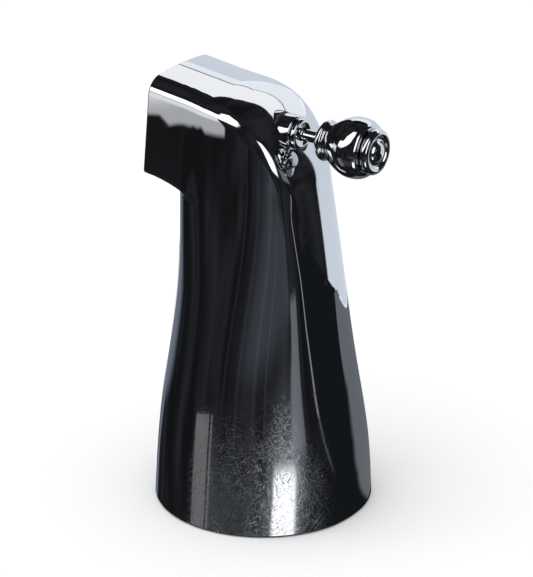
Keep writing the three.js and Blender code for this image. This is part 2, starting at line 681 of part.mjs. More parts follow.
// ---------------------------------------------------------------- assembly

const pieces = [
  ["spout_shell", spoutShell(), chrome],
  ["inlet_collar", inletCollar(), brass],
  ["inlet_o_ring_front", inletRing(INLET_RING_HEIGHTS.front), rubber],
  ["inlet_o_ring_rear", inletRing(INLET_RING_HEIGHTS.rear), rubber],
  ["clamp_set_screw", clampSetScrew(), steel],
  ["collar_retaining_clip", collarRetainingClip(), steel],
  ["waterway_tube", waterwayTube(), brass],
  ["tube_o_ring_lower", tubeRing(TUBE_RING_HEIGHTS.lower), rubber],
  ["tube_o_ring_upper", tubeRing(TUBE_RING_HEIGHTS.upper), rubber],
  ["diverter_body", diverterBody(), acetal],
  ["diverter_screw_left", diverterScrew(-1), steel],
  ["diverter_screw_right", diverterScrew(1), steel],
  ["valve_seat", valveSeat(), brass],
  ["bonnet", bonnet(), chrome],
  ["bonnet_o_ring", bonnetRing(), rubber],
  ["stem_o_ring", stemRing(), rubber],
  ["packing_washer", packingWasher(), brass],
  ["bonnet_nut", bonnetNut(), chrome],
  ["gate_plate", gatePlate(), acetal],
  ["gate_washer", gateWasher(), rubber],
  ["lift_rod", liftRod(), chrome],
  ["knob_body", knobBody(), chrome],
  ["knob_end_button", knobEndButton(), chrome],
];

const spout = new THREE.Group();
for (const [name, made, material] of pieces) {
  const mesh = new THREE.Mesh(geometryOf(made), material());
  mesh.name = name;
  spout.add(mesh);
}

export default spout;
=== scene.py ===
"""Looks of a chrome bathtub spout with a pull-up diverter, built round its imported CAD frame.

Lengths are written in millimetres in the part's own frame (origin at the centre of the wall face, +Z
towards the nose, +X towards the knob) and turned into metres when a mesh is made.
"""

import math

import bmesh
import bpy
import numpy as np
from mathutils import Matrix, Vector


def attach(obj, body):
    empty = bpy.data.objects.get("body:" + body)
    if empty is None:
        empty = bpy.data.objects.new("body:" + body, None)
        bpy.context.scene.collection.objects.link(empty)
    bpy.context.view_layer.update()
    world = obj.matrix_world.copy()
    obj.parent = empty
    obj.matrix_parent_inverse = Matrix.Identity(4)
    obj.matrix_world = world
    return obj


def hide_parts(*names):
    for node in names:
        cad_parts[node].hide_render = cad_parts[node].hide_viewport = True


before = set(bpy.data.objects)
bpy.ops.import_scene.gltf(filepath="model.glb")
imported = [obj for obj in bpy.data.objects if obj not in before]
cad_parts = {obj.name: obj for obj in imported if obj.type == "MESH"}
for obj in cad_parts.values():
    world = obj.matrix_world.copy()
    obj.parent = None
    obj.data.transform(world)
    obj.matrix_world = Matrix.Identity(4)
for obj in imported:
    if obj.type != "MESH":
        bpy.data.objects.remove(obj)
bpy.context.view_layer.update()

MM = 0.001

# --- sizes of the shell, in millimetres

WALL = 2.2
NOSE_HALF_WIDTH = 16.5
RIM_X = -33.4
RIM_Z = 122.0
RIM_TILT = math.radians(5)
TOP_SLOPE = math.radians(6.8)
BEND_START = 109.5
BEND_RADIUS = 33.9
CROWN_HALF_WIDTH = 14.0
UNDERSIDE_X, UNDERSIDE_Z, UNDERSIDE_RADIUS = -37.8, 60.7, 46.3
NOSE_BOTTOM_Z = 72
NOSE_EDGE_RADIUS = 1.3
NECK_FILLET = 2.5
NOSE_TAPER_Z, NOSE_TAPER_START_X = (95, 130), (-14, 4)
NOSE_TAPER_RATE, NOSE_TAPER_BLEND = 0.04, 4
TOP_EDGE_RADIUS, TOP_EDGE_GROWTH = 2.6, 2.2
TOP_EDGE_START_X, TOP_EDGE_REACH = 2, 14
FAN_HEIGHT = 88.0
LIP_RADIUS = 0.6

# The body's section at heights up from the wall face; "strip" is where the knob side runs.
STATION_Z = [0, 20, 45, 75, 105, 140]
STATIONS = {
    "depth": [35, 34.2, 31.1, 27.4, 25, 21.4],
    "width": [35, 33, 29.1, 23.3, 18.7, 17.2],
    "centre": [0, 0, -0.5, -0.6, -2.4, -4],
    "power": [2, 2, 2, 2.1, 2.45, 2.5],
    "strip": [36, 33.5, 29, 24.5, 19.8, 13],
}

# --- sizes of the other pieces

KNOB_AXIS_Z = 125.7
BONNET_RADIUS = 5.5
BONNET_START_X = 4.3
BONNET_END_X = 13.2
FIT = 0.3
SET_SCREW_Z = 11.0
SLOT_HALF_WIDTH = 3.5
SLOT_START_X, SLOT_END_X = -37, -24
COLLAR_RADIUS = 12.0
COLLAR_BOTTOM_Z, COLLAR_TOP_Z = 6, 44
PIPE_STOP_Z, SOCKET_BOTTOM_Z = 34, 37
SCREW_BOSS_RADIUS, SCREW_BOSS_START_X, SCREW_BOSS_END_X = 4.8, -16.5, -10
SCREW_HOLE_RADIUS = 3.3
SET_SCREW_RADIUS = 3.0
THREAD_DEPTH = 0.25
CLIP_GROOVE_RADIUS = 11
CLIP_GROOVE_Z = 40.3, 41.8
CLIP_RADIUS, CLIP_PLAY = 14.4, 0.15
HUB_RADIUS = 15
HUB_BOTTOM_Z = 17.0
HUB_TOP_Z = 40.0
RIB_HALF_THICKNESS = 1.2
ROD_RADIUS = 1.9
ROD_BORE_RADIUS = 2.2
ROD_HEAD_RADIUS, ROD_HEAD_START_X, ROD_HEAD_END_X = 2.7, -8.3, -6.9
ROD_END_X = 34
NUT_RADIUS = 4.9
NUT_END_X = 15.1
KNOB_START_X = 21.2
KNOB_END_X = 40.0
KNOB_RADIUS = 9.6
KNOB_HOLE_RADIUS, KNOB_HOLE_X = 3.3, 36.3
BEAD_X, BEAD_MIDDLE_RADIUS, BEAD_SIZE = 24.2, 5.4, 1.05
PIPE_BORE_RADIUS = 8.1
TUBE_RADIUS = 8.6
TUBE_BORE_RADIUS = 6.6
TUBE_TOP_Z = 109
GROOVE_HALF_WIDTH = 1.35
INLET_GROOVE_RADIUS, INLET_RING_Z = 9.8, (22, 28)
TUBE_GROOVE_RADIUS, TUBE_RING_Z = 7.4, (41, 104)
BONNET_GROOVE_DEPTH = 1.2
BONNET_GROOVE_X = 6.4, 8.4
RING_SQUEEZE = 0.15
PORT_X = -5.0
SEAT_Z = 121.5
SCREW_X, SCREW_Y = -15.0, 12.4
EAR_TOP_Z = 120.0
GLAND_RADIUS, GLAND_START_X = 3.6, 9.8
ABOUT_ROD = (0, 0, KNOB_AXIS_Z)
AT_SCREW = (0, 0, SET_SCREW_Z)

# --- wear: side in degrees, edge in noise levels, depths in metres

WORN_AZIMUTH = 32
SCRATCH_EDGE = 0.06
SCRATCH_DEPTH = 0.000006
RIPPLE_DEPTH = 0.00001


def direction(azimuth, elevation):
    """Unit vector at an azimuth from the front (-Y) towards +X, and an elevation."""
    a, e = math.radians(azimuth), math.radians(elevation)
    return Vector((math.sin(a) * math.cos(e), -math.cos(a) * math.cos(e), math.sin(e)))


# --- material helpers


class Nodes:
    """A material's node tree with short ways to add and join nodes."""

    def __init__(self, name):
        self.material = bpy.data.materials.new(name)
        self.material.use_nodes = True
        self.tree = self.material.node_tree
        self.shader = self.tree.nodes["Principled BSDF"]
        self.coords = self.tree.nodes.new("ShaderNodeTexCoord").outputs["Object"]

    def add(self, kind, inputs=(), **settings):
        node = self.tree.nodes.new(kind)
        for key, value in settings.items():
            setattr(node, key, value)
        for socket, value in dict(inputs).items():
            self.feed(node.inputs[socket], value)
        return node

    def feed(self, socket, value):
        if isinstance(value, bpy.types.NodeSocket):
            self.tree.links.new(value, socket)
        else:
            socket.default_value = value

    def set(self, **inputs):
        for name, value in inputs.items():
            self.feed(self.shader.inputs[name.replace("_", " ")], value)

    def math(self, operation, *values, clamp=False):
        node = self.add("ShaderNodeMath", dict(enumerate(values)), operation=operation)
        node.use_clamp = clamp
        return node.outputs[0]

    def noise(self, scale, detail=3.0, stretch=(1, 1, 1), offset=(0, 0, 0), distortion=0.0):
        place = self.add("ShaderNodeMapping", {"Vector": self.coords, "Scale": stretch, "Location": offset})
        inputs = {"Vector": place.outputs[0], "Scale": scale, "Detail": detail, "Distortion": distortion}
        return self.add("ShaderNodeTexNoise", inputs).outputs["Fac"]

    def ramp(self, value, low, high, to_low=0.0, to_high=1.0):
        inputs = {"Value": value, "From Min": low, "From Max": high, "To Min": to_low, "To Max": to_high}
        node = self.add("ShaderNodeMapRange", inputs)
        node.interpolation_type = "SMOOTHSTEP"
        return node.outputs[0]

    def mix_colour(self, factor, a, b):
        node = self.add("ShaderNodeMix", data_type="RGBA")
        self.feed(node.inputs[0], factor)
        self.feed(node.inputs[6], (*a, 1))
        self.feed(node.inputs[7], (*b, 1))
        return node.outputs[2]

    def bump(self, height, distance, strength=1.0, after=None):
        """Turns a height into normals, on top of those of an earlier bump."""
        inputs = {"Height": height, "Distance": distance, "Strength": strength}
        if after is not None:
            inputs["Normal"] = after
        return self.add("ShaderNodeBump", inputs).outputs[0]

    def strokes(self, place, scale, length, turn, threshold, shift):
        """Short scratches: the peaks of a noise drawn out along a line.

        The line leans from the upright by a turn in degrees, on the side of the object that is worn.
        """
        inputs = {
            "Vector": place,
            "Location": (shift, shift, 0.0),
            "Rotation": Matrix.Rotation(math.radians(turn), 3, direction(WORN_AZIMUTH, 0)).to_euler(),
            "Scale": (1, 1, length),
        }
        leaning = self.add("ShaderNodeMapping", inputs, vector_type="TEXTURE")
        inputs = {"Vector": leaning.outputs[0], "Scale": scale, "Detail": 0.0}
        field = self.add("ShaderNodeTexNoise", inputs).outputs["Fac"]
        return self.ramp(field, threshold, threshold + SCRATCH_EDGE)

    def hairlines(self, scale, width, offset, stretch=(1, 1, 1)):
        """Thin curved lines: the contours of a noise, broken up by a second one."""
        field = self.noise(scale, 0.6, stretch, offset, 0.5)
        contour = self.math("ABSOLUTE", self.math("SUBTRACT", field, 0.5))
        line = self.ramp(contour, width, 0.0)
        gaps = self.ramp(self.noise(scale * 0.8, 1.0, (1, 1, 1), offset), 0.42, 0.6)
        return self.math("MULTIPLY", line, gaps)


def worn_area(n):
    """1 where the plating is worn, near the wall end on one side, fading to 0 around it."""
    height = n.add("ShaderNodeSeparateXYZ", {0: n.coords}).outputs["Z"]
    near_wall = n.ramp(height, 0.06, 0.016)
    inputs = {0: n.coords, 1: direction(WORN_AZIMUTH, 0)}
    facing = n.add("ShaderNodeVectorMath", inputs, operation="DOT_PRODUCT").outputs["Value"]
    worn_side = n.ramp(facing, 0.0205, 0.0305)
    patches = n.ramp(n.noise(70, 3.0, (1, 1, 0.6), (0.4, 0.1, 0.9)), 0.25, 0.6, 0.35, 1.0)
    return n.math("MULTIPLY", n.math("MULTIPLY", near_wall, worn_side), patches)


def crossing_scuffs(n):
    """A web of slightly curled scratches that run in six directions."""
    inputs = {"Vector": n.coords, "Scale": 90.0, "Detail": 1.0}
    wander = n.add("ShaderNodeTexNoise", inputs).outputs["Color"]
    inputs = {0: wander, 1: (0.008, 0.008, 0.008), 2: n.coords}
    curled = n.add("ShaderNodeVectorMath", inputs, operation="MULTIPLY_ADD").outputs[0]
    scuffs = 0.0
    for scale, length, turn, threshold, shift in (
        (4600, 30, 12, 0.7, 0.2),
        (5000, 24, 48, 0.7, 0.7),
        (4300, 32, -31, 0.7, 1.3),
        (5200, 24, 84, 0.7, 1.9),
        (4600, 28, -64, 0.7, 2.6),
        (3900, 40, 27, 0.71, 3.1),
    ):
        layer = n.strokes(curled, scale, length, turn, threshold, shift)
        scuffs = n.math("MAXIMUM", scuffs, layer)
    return scuffs


def chrome(name, scuffed):
    """Mirror plating with faint smears and hairlines. A scuffed one is scratched near the wall end."""
    n = Nodes(name)
    smear = n.ramp(n.noise(60, 4.0, (1, 1, 0.35)), 0.45, 0.75)
    cloud = n.noise(25, 3.0)
    colour = n.mix_colour(cloud, (0.66, 0.68, 0.71), (0.74, 0.755, 0.78))
    roughness = n.math("MULTIPLY_ADD", smear, 0.03, 0.025)
    fine = n.hairlines(170, 0.006, (3.1, 0.2, 1.7), (1, 1, 0.2))
    scratches = n.math("MULTIPLY", fine, 0.1)
    if scuffed:
        where = worn_area(n)
        scuffs = n.math("MULTIPLY", crossing_scuffs(n), where)
        roughness = n.math("ADD", roughness, n.math("MULTIPLY", where, 0.03))
        scratches = n.math("MAXIMUM", scratches, n.math("MULTIPLY", scuffs, 0.6))
    roughness = n.math("ADD", roughness, scratches, clamp=True)
    waves = n.bump(n.noise(38, 1.0, (1, 1, 0.6), (0.7, 0.2, 0.1)), RIPPLE_DEPTH)
    n.set(Base_Color=colour, Roughness=roughness, Normal=n.bump(scratches, SCRATCH_DEPTH, 1.0, waves))
    n.shader.inputs["Metallic"].default_value = 1.0
    return n.material


def cast_zinc():
    """The unpolished inside of the casting: dull grey plating over a grainy surface."""
    n = Nodes("cast_inside")
    grain = n.noise(900, 4.0)
    blotch = n.noise(70, 3.0)
    n.set(
        Base_Color=n.mix_colour(blotch, (0.33, 0.34, 0.35), (0.46, 0.47, 0.48)),
        Roughness=n.ramp(blotch, 0.3, 0.8, 0.38, 0.6),
        Normal=n.bump(grain, 0.0002, 0.6),
    )
    n.shader.inputs["Metallic"].default_value = 1.0
    return n.material


def turned_metal(name, tones, axis):
    """Machined brass or steel: fine rings round its own axis, with a little tarnish."""
    n = Nodes(name)
    stretch = tuple(40.0 if k == axis else 1.0 for k in range(3))
    rings = n.noise(60, 2.0, stretch)
    tarnish = n.noise(110, 4.0)
    n.set(
        Base_Color=n.mix_colour(tarnish, *tones),
        Roughness=n.ramp(tarnish, 0.3, 0.75, 0.2, 0.42),
        Normal=n.bump(rings, 0.00002, 0.7),
    )
    n.shader.inputs["Metallic"].default_value = 1.0
    return n.material


def matte(name, tones, cloud, roughness, grain_scale, grain_depth):
    """Plastic or rubber: a fine grain, and a cloud that shifts its tone and its roughness."""
    n = Nodes(name)
    grain = n.noise(grain_scale, 3.0)
    cloud = n.noise(*cloud)
    n.set(
        Base_Color=n.mix_colour(cloud, *tones),
        Roughness=n.ramp(cloud, 0.3, 0.7, *roughness),
        Normal=n.bump(grain, grain_depth, 0.5),
    )
    return n.material


BRASS_TONES = (0.5, 0.34, 0.12), (0.68, 0.5, 0.22)
STEEL_TONES = (0.42, 0.43, 0.44), (0.6, 0.61, 0.62)
ACETAL_TONES = (0.7, 0.69, 0.64), (0.79, 0.78, 0.73)
RUBBER_TONES = (0.012, 0.012, 0.013), (0.03, 0.03, 0.032)

CHROME_SHELL = chrome("polished_chrome_shell", True)
CHROME_TRIM = chrome("polished_chrome_trim", False)
CAST = cast_zinc()
BRASS = turned_metal("turned_brass", BRASS_TONES, 2)
BRASS_X = turned_metal("turned_brass_on_rod", BRASS_TONES, 0)
STEEL = turned_metal("zinc_plated_steel", STEEL_TONES, 2)
STEEL_X = turned_metal("zinc_plated_set_screw", STEEL_TONES, 0)
RUBBER = matte("black_rubber", RUBBER_TONES, (160, 3.0), (0.5, 0.72), 1800, 0.00005)
ACETAL = matte("moulded_acetal", ACETAL_TONES, (90, 2.0), (0.38, 0.5), 1400, 0.00004)


# --- mesh helpers


def add_object(name, data):
    """Puts a new object into the scene."""
    made = bpy.data.objects.new(name, data)
    bpy.context.scene.collection.objects.link(made)
    return made


def make_object(name, vertices, faces, materials):
    """A mesh object from points in millimetres."""
    mesh = bpy.data.meshes.new(name)
    mesh.from_pydata([tuple(v) for v in np.asarray(vertices) * MM], [], [tuple(f) for f in faces])
    for material in materials:
        mesh.materials.append(material)
    return add_object(name, mesh)


def smooth_shade(piece, angle=30):
    piece.data.shade_smooth()
    piece.data.set_sharp_from_angle(angle=math.radians(angle))


def install(piece, node, body):
    """The piece takes the CAD node's place on its body."""
    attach(piece, body)
    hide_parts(node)
    return piece


def grid_faces(rings, around, closed):
    """Quads of a tube of rings; a closed one joins its last ring to its first."""
    count = rings if closed else rings - 1
    i, j = np.meshgrid(np.arange(count), np.arange(around), indexing="ij")
    below, above = i * around, ((i + 1) % rings) * around
    k = (j + 1) % around
    return np.stack([below + j, below + k, above + k, above + j], -1).reshape(-1, 4)


def eased(outline, radius, steps=4):
    """The closed outline with each of its corners off the axis rounded."""
    points = [np.array(p, float) for p in outline]
    result = []
    for before, here, after in zip(points[-1:] + points[:-1], points, points[1:] + points[:1]):
        back, ahead = before - here, after - here
        reach_back, reach_ahead = np.linalg.norm(back), np.linalg.norm(ahead)
        straight = back @ ahead / (reach_back * reach_ahead) < -0.97
        if here[0] < 1e-6 or straight:
            result.append(here)
            continue
        cut = min(radius, 0.4 * reach_back, 0.4 * reach_ahead)
        start, end = here + back / reach_back * cut, here + ahead / reach_ahead * cut
        for t in np.linspace(0, 1, steps + 1):
            result.append((1 - t) ** 2 * start + 2 * t * (1 - t) * here + t * t * end)
    return result


def turned(name, outline, material, along="z", centre=(0, 0, 0), segments=96):
    """A solid turned about an axis through centre, from a closed [radius, along] outline."""
    outline = np.array(outline, float)
    area = np.sum(outline[:, 0] * np.roll(outline[:, 1], -1) - np.roll(outline[:, 0], -1) * outline[:, 1])
    if area < 0:
        outline = outline[::-1]
    angles = 2 * np.pi * np.arange(segments) / segments
    vertices, index = [], []
    for radius, step in outline:
        first = len(vertices)
        if radius < 1e-6:
            vertices.append((0.0, 0.0, step))
            index.append([first] * segments)
        else:
            vertices += [(radius * math.cos(a), radius * math.sin(a), step) for a in angles]
            index.append(list(range(first, first + segments)))
    faces = []
    for low, high in zip(index, index[1:] + index[:1]):
        for j in range(segments):
            k = (j + 1) % segments
            corners = [low[j], low[k], high[k], high[j]]
            face = [c for n, c in enumerate(corners) if c not in corners[:n]]
            if len(face) > 2:
                faces.append(face)
    points = np.array(vertices)
    if along == "x":
        points = np.stack([points[:, 2], points[:, 0], points[:, 1]], -1)
    made = make_object(name, points + np.array(centre), faces, [material])
    smooth_shade(made, 40)
    return made


def cut(piece, cutters):
    """Takes the cutters out of the piece, and removes them."""
    join(piece, cutters, "DIFFERENCE")


def join(piece, others, operation="UNION"):
    """Adds the others to the piece, and removes them."""
    for other in others:
        step = piece.modifiers.new("boolean", "BOOLEAN")
        step.object = other
        step.operation = operation
        step.solver = "EXACT"
        apply_modifiers(piece)
        bpy.data.objects.remove(other)


def apply_modifiers(piece):
    """Keeps the mesh that the piece's modifiers make."""
    bpy.context.view_layer.update()
    evaluated = piece.evaluated_get(bpy.context.evaluated_depsgraph_get())
    mesh = bpy.data.meshes.new_from_object(evaluated)
    piece.modifiers.clear()
    old = piece.data
    piece.data = mesh
    bpy.data.meshes.remove(old)


def block(name, low, high, material):
    """A box between two corners."""
    made = make_object(name, [], [], [material])
    shape = bmesh.new()
    bmesh.ops.create_cube(shape, size=1.0)
    low, high = Vector(low) * MM, Vector(high) * MM
    size = high - low
    shape.transform(Matrix.Translation((low + high) / 2) @ Matrix.Diagonal((*size, 1)))
    shape.to_mesh(made.data)
    shape.free()
    return made


def disc_outline(inner, outer, start, end):
    return [(inner, start), (outer, start), (outer, end), (inner, end)]


def groove_outline(surface, floor, middle, order):
    """A groove for a ring, from the surface's radius to the floor's; an order of -1 goes backwards."""
    start, end = middle - order * GROOVE_HALF_WIDTH, middle + order * GROOVE_HALF_WIDTH
    return [(surface, start), (floor, start), (floor, end), (surface, end)]


def thread_outline(radius, start, end, pitch):
    """A thread drawn as rings with shallow roots."""
    outline = []
    for step in np.arange(start, end, pitch):
        outline += [(radius, step), (radius - THREAD_DEPTH, step + pitch / 2)]
    return outline


class Outline:
    """A (radius, along) outline drawn from lines, curves and arcs given as (along, radius)."""

    def __init__(self, along, radius):
        self.points = [(along, radius)]

    def line(self, along, radius):
        self.points.append((along, radius))
        return self

    def curve(self, *controls, steps=14):
        """A Bezier curve from the last point over one or two control points to an end point."""
        chain = [np.array(p, float) for p in [self.points[-1], *controls]]
        degree = len(chain) - 1
        for t in np.linspace(0, 1, steps + 1)[1:]:
            weights = [math.comb(degree, k) * t**k * (1 - t) ** (degree - k) for k in range(degree + 1)]
            self.points.append(tuple(sum(w * p for w, p in zip(weights, chain))))
        return self

    def arc(self, along, radius, size, start, end, steps=14):
        for t in np.linspace(start, end, steps + 1):
            self.points.append((along + size * math.cos(t), radius + size * math.sin(t)))
        return self

    def turned(self):
        return [(radius, along) for along, radius in self.points]


# --- shape of the shell


def spline(heights, values):
    """A natural cubic spline, so that reflections run over the stations without a break."""
    z, v = np.array(heights, float), np.array(values, float)
    h = np.diff(z)
    count = len(z)
    system, right = np.eye(count), np.zeros(count)
    for i in range(1, count - 1):
        system[i, i - 1 : i + 2] = [h[i - 1], 2 * (h[i - 1] + h[i]), h[i]]
        right[i] = 6 * ((v[i + 1] - v[i]) / h[i] - (v[i] - v[i - 1]) / h[i - 1])
    bend = np.linalg.solve(system, right)

    def value(height):
        height = np.clip(height, z[0], z[-1])
        i = np.clip(np.searchsorted(z, height, side="right") - 1, 0, count - 2)
        above, below, span = z[i + 1] - height, height - z[i], h[i]
        return (
            (bend[i] * above**3 + bend[i + 1] * below**3) / (6 * span)
            + (v[i] / span - bend[i] * span / 6) * above
            + (v[i + 1] / span - bend[i + 1] * span / 6) * below
        )

    return value


station = {name: spline(STATION_Z, values) for name, values in STATIONS.items()}

LEAN = math.atan((station["strip"](BEND_START - 0.01) - station["strip"](BEND_START + 0.01)) / 0.02)
BEND_X = float(station["strip"](BEND_START)) - BEND_RADIUS * math.cos(LEAN)
BEND_Z = BEND_START - BEND_RADIUS * math.sin(LEAN)
BEND_END = math.pi / 2 - TOP_SLOPE


def smooth_step(t):
    t = np.clip(t, 0, 1)
    return t * t * (3 - 2 * t)


def rounded_corner(a, b, radius):
    """Where both distances are inside, with the edge between them rounded."""
    past_a, past_b = np.maximum(radius + a, 0), np.maximum(radius + b, 0)
    return np.minimum(-radius, np.maximum(a, b)) + np.hypot(past_a, past_b)


def filled_corner(a, b, size):
    """Where either distance is inside, with a fillet in the corner between them."""
    h = np.maximum(size - np.abs(a - b), 0) / size
    return np.minimum(a, b) - h**3 * size / 6


def body_distance(x, y, z):
    """Distance to the tapering body, whose section goes from round to nearly square."""
    dx = x - station["centre"](z)
    power = station["power"](z)
    g = (np.abs(dx) / station["depth"](z)) ** power + (np.abs(y) / station["width"](z)) ** power
    g = np.maximum(g ** (1 / power), 1e-9)
    return (g - 1) * np.hypot(dx, y) / g


def ridge_distance(x, y, z):
    """Distance to the knob side, the bend and the nose's top, slightly crowned across."""
    dx, dz = x - BEND_X, z - BEND_Z
    angle = np.arctan2(dz, dx)
    round_bend = np.hypot(dx, dz) - BEND_RADIUS
    along_top = dx * math.cos(BEND_END) + dz * math.sin(BEND_END) - BEND_RADIUS
    up_strip = (x - station["strip"](z)) * math.cos(LEAN)
    distance = np.where(angle > BEND_END, along_top, np.where(angle >= LEAN, round_bend, up_strip))
    return distance + (y / CROWN_HALF_WIDTH) ** 2


def nose_distance(x, y, z):
    """Distance to the nose: flat sides that draw in past a leaning line, and a hollow underside."""
    past = x - np.interp(z, NOSE_TAPER_Z, NOSE_TAPER_START_X)
    drawn_in = NOSE_TAPER_RATE * ((past + np.hypot(past, NOSE_TAPER_BLEND)) / 2) ** 1.5
    side = np.abs(y) - NOSE_HALF_WIDTH + drawn_in
    under = UNDERSIDE_RADIUS - np.hypot(x - UNDERSIDE_X, z - UNDERSIDE_Z)
    return np.maximum(rounded_corner(side, under, NOSE_EDGE_RADIUS), NOSE_BOTTOM_Z - z)


def shell_distance(p):
    """Distance in millimetres from points to the shell's outer surface, negative inside."""
    x, y, z = p[..., 0], p[..., 1], p[..., 2]
    sides = filled_corner(body_distance(x, y, z), nose_distance(x, y, z), NECK_FILLET)
    growth = smooth_step((TOP_EDGE_START_X - x) / TOP_EDGE_REACH)
    edge = TOP_EDGE_RADIUS + TOP_EDGE_GROWTH * growth
    return rounded_corner(sides, ridge_distance(x, y, z), edge)


def shell_normals(p, step=0.01):
    """Outward directions of the shell's surface at points in millimetres."""
    slopes = []
    for axis in np.eye(3) * step:
        slopes.append(shell_distance(p + axis) - shell_distance(p - axis))
    normals = np.stack(slopes, -1)
    return normals / np.linalg.norm(normals, axis=-1, keepdims=True)


def section_at(t):
    """Centre and in-plane direction of the section at t: 0 to 1 up the body, 1 to 2 round into the nose."""
    if t < 1:
        z = FAN_HEIGHT * t
        return (float(station["centre"](z)), z, 1.0, 0.0)
    pivot_x = RIM_X + (FAN_HEIGHT - RIM_Z) * math.tan(RIM_TILT)
    start = float(station["centre"](FAN_HEIGHT)) - pivot_x
    end = (RIM_Z + 2 - FAN_HEIGHT) / math.cos(RIM_TILT)
    angle = (math.pi / 2 - RIM_TILT) * (t - 1)
    reach = start + (end - start) * float(smooth_step(t - 1))
    dx, dz = math.cos(angle), math.sin(angle)
    return (pivot_x + reach * dx, FAN_HEIGHT + reach * dz, dx, dz)


def shell_rings(sections, insets, around):
    """Rings of points where rays from each section's centre leave the shell drawn in by its inset."""
    section = np.array(sections)
    inset = np.array(insets)[:, None]
    angle = 2 * np.pi * (np.arange(around) + 0.5) / around
    across = np.broadcast_to(np.sin(angle), (len(section), around))
    ray = np.stack([np.cos(angle) * section[:, 2:3], across, np.cos(angle) * section[:, 3:4]], -1)
    centre = np.stack([section[:, 0], 0 * section[:, 0], section[:, 1]], -1)[:, None]
    near, far = np.zeros(ray.shape[:2]), np.full(ray.shape[:2], np.nan)
    for reach in np.arange(4.0, 60.0, 2.0):
        outside = shell_distance(centre + reach * ray) + inset > 0
        far[outside & np.isnan(far)] = reach
        near[np.isnan(far)] = reach
    for _ in range(28):
        middle = (near + far) / 2
        outside = shell_distance(centre + middle[..., None] * ray) + inset > 0
        far, near = np.where(outside, middle, far), np.where(outside, near, middle)
    return centre + near[..., None] * ray


def spout_shell():
    """The casting: outer skin, rounded outlet lip, inner skin and rounded wall rim as one closed tube."""
    around, rows_up_body, rows_in_nose = 288, 110, 130
    up = [*np.linspace(0, 1, rows_up_body, endpoint=False), *np.linspace(1, 2, rows_in_nose)]
    first, last = section_at(0), section_at(2)
    quarter = np.linspace(0, math.pi / 2, 6)[1:-1]

    def rim(reach):
        """The outlet's section moved back into the nose by a distance."""
        shift = reach * math.cos(RIM_TILT), -reach * math.sin(RIM_TILT)
        return (last[0] + shift[0], last[1] + shift[1], last[2], last[3])

    def wall(reach):
        """The wall end's section moved up by a distance."""
        return (first[0], reach, 1.0, 0.0)

    nose_length = 60
    near_rim = 2 - LIP_RADIUS * 1.2 / nose_length
    near_wall = LIP_RADIUS / FAN_HEIGHT
    up = [t for t in up if near_wall < t < near_rim]
    rows = [(wall(LIP_RADIUS), 0)] + [(section_at(t), 0) for t in up] + [(rim(LIP_RADIUS), 0)]
    for a in quarter:
        rows.append((rim(LIP_RADIUS * (1 - math.sin(a))), LIP_RADIUS * (1 - math.cos(a))))
    rows += [(rim(0), LIP_RADIUS), (rim(0), WALL - LIP_RADIUS)]
    for a in quarter:
        rows.append((rim(LIP_RADIUS * (1 - math.cos(a))), WALL - LIP_RADIUS * (1 - math.sin(a))))
    inner_start = len(rows)
    rows.append((rim(LIP_RADIUS), WALL))
    rows += [(section_at(t), WALL) for t in up[::-1]]
    rows.append((wall(LIP_RADIUS), WALL))
    inner_end = len(rows) - 1
    for a in quarter:
        rows.append((wall(LIP_RADIUS * (1 - math.sin(a))), WALL - LIP_RADIUS * (1 - math.cos(a))))
    rows += [(wall(0), WALL - LIP_RADIUS), (wall(0), LIP_RADIUS)]
    for a in quarter:
        rows.append((wall(LIP_RADIUS * (1 - math.cos(a))), LIP_RADIUS * (1 - math.sin(a))))
    points = shell_rings([r[0] for r in rows], [r[1] for r in rows], around)
    faces = grid_faces(len(rows), around, True)
    shell = make_object("cast_spout_shell", points.reshape(-1, 3), faces, [CHROME_SHELL, CAST])
    ring_of_face = np.repeat(np.arange(len(rows)), around)
    inside = (ring_of_face >= inner_start) & (ring_of_face < inner_end)
    shell.data.polygons.foreach_set("material_index", inside.astype(np.int32))

    hole_outline = disc_outline(0, BONNET_RADIUS + FIT / 2, -2, 30)
    hole = turned("bonnet_hole", hole_outline, CAST, "x", ABOUT_ROD)
    slot_outline = disc_outline(0, SLOT_HALF_WIDTH, SLOT_START_X, SLOT_END_X)
    slot_top = turned("slot_top", slot_outline, CAST, "x", AT_SCREW, 48)
    slot_low = (SLOT_START_X, -SLOT_HALF_WIDTH, -1)
    slot = block("slot", slot_low, (SLOT_END_X, SLOT_HALF_WIDTH, SET_SCREW_Z), CAST)
    cut(shell, [hole, slot_top, slot])
    shade_from_surface(shell)
    return install(shell, "spout_shell", "spout")


def shade_from_surface(shell):
    """Gives the outer skin the surface's own directions, so that the plating mirrors cleanly."""
    smooth_shade(shell, 35)
    mesh = shell.data
    normals = np.zeros(len(mesh.loops) * 3)
    mesh.corner_normals.foreach_get("vector", normals)
    normals = normals.reshape(-1, 3)
    corner_vertex = np.zeros(len(mesh.loops), np.int32)
    mesh.loops.foreach_get("vertex_index", corner_vertex)
    places = np.zeros(len(mesh.vertices) * 3)
    mesh.vertices.foreach_get("co", places)
    places = places.reshape(-1, 3)[corner_vertex] / MM
    exact = shell_normals(places)
    on_skin = (np.abs(shell_distance(places)) < 0.004) & ((normals * exact).sum(-1) > 0.8)
    normals[on_skin] = exact[on_skin]
    mesh.normals_split_custom_set([tuple(n) for n in normals])


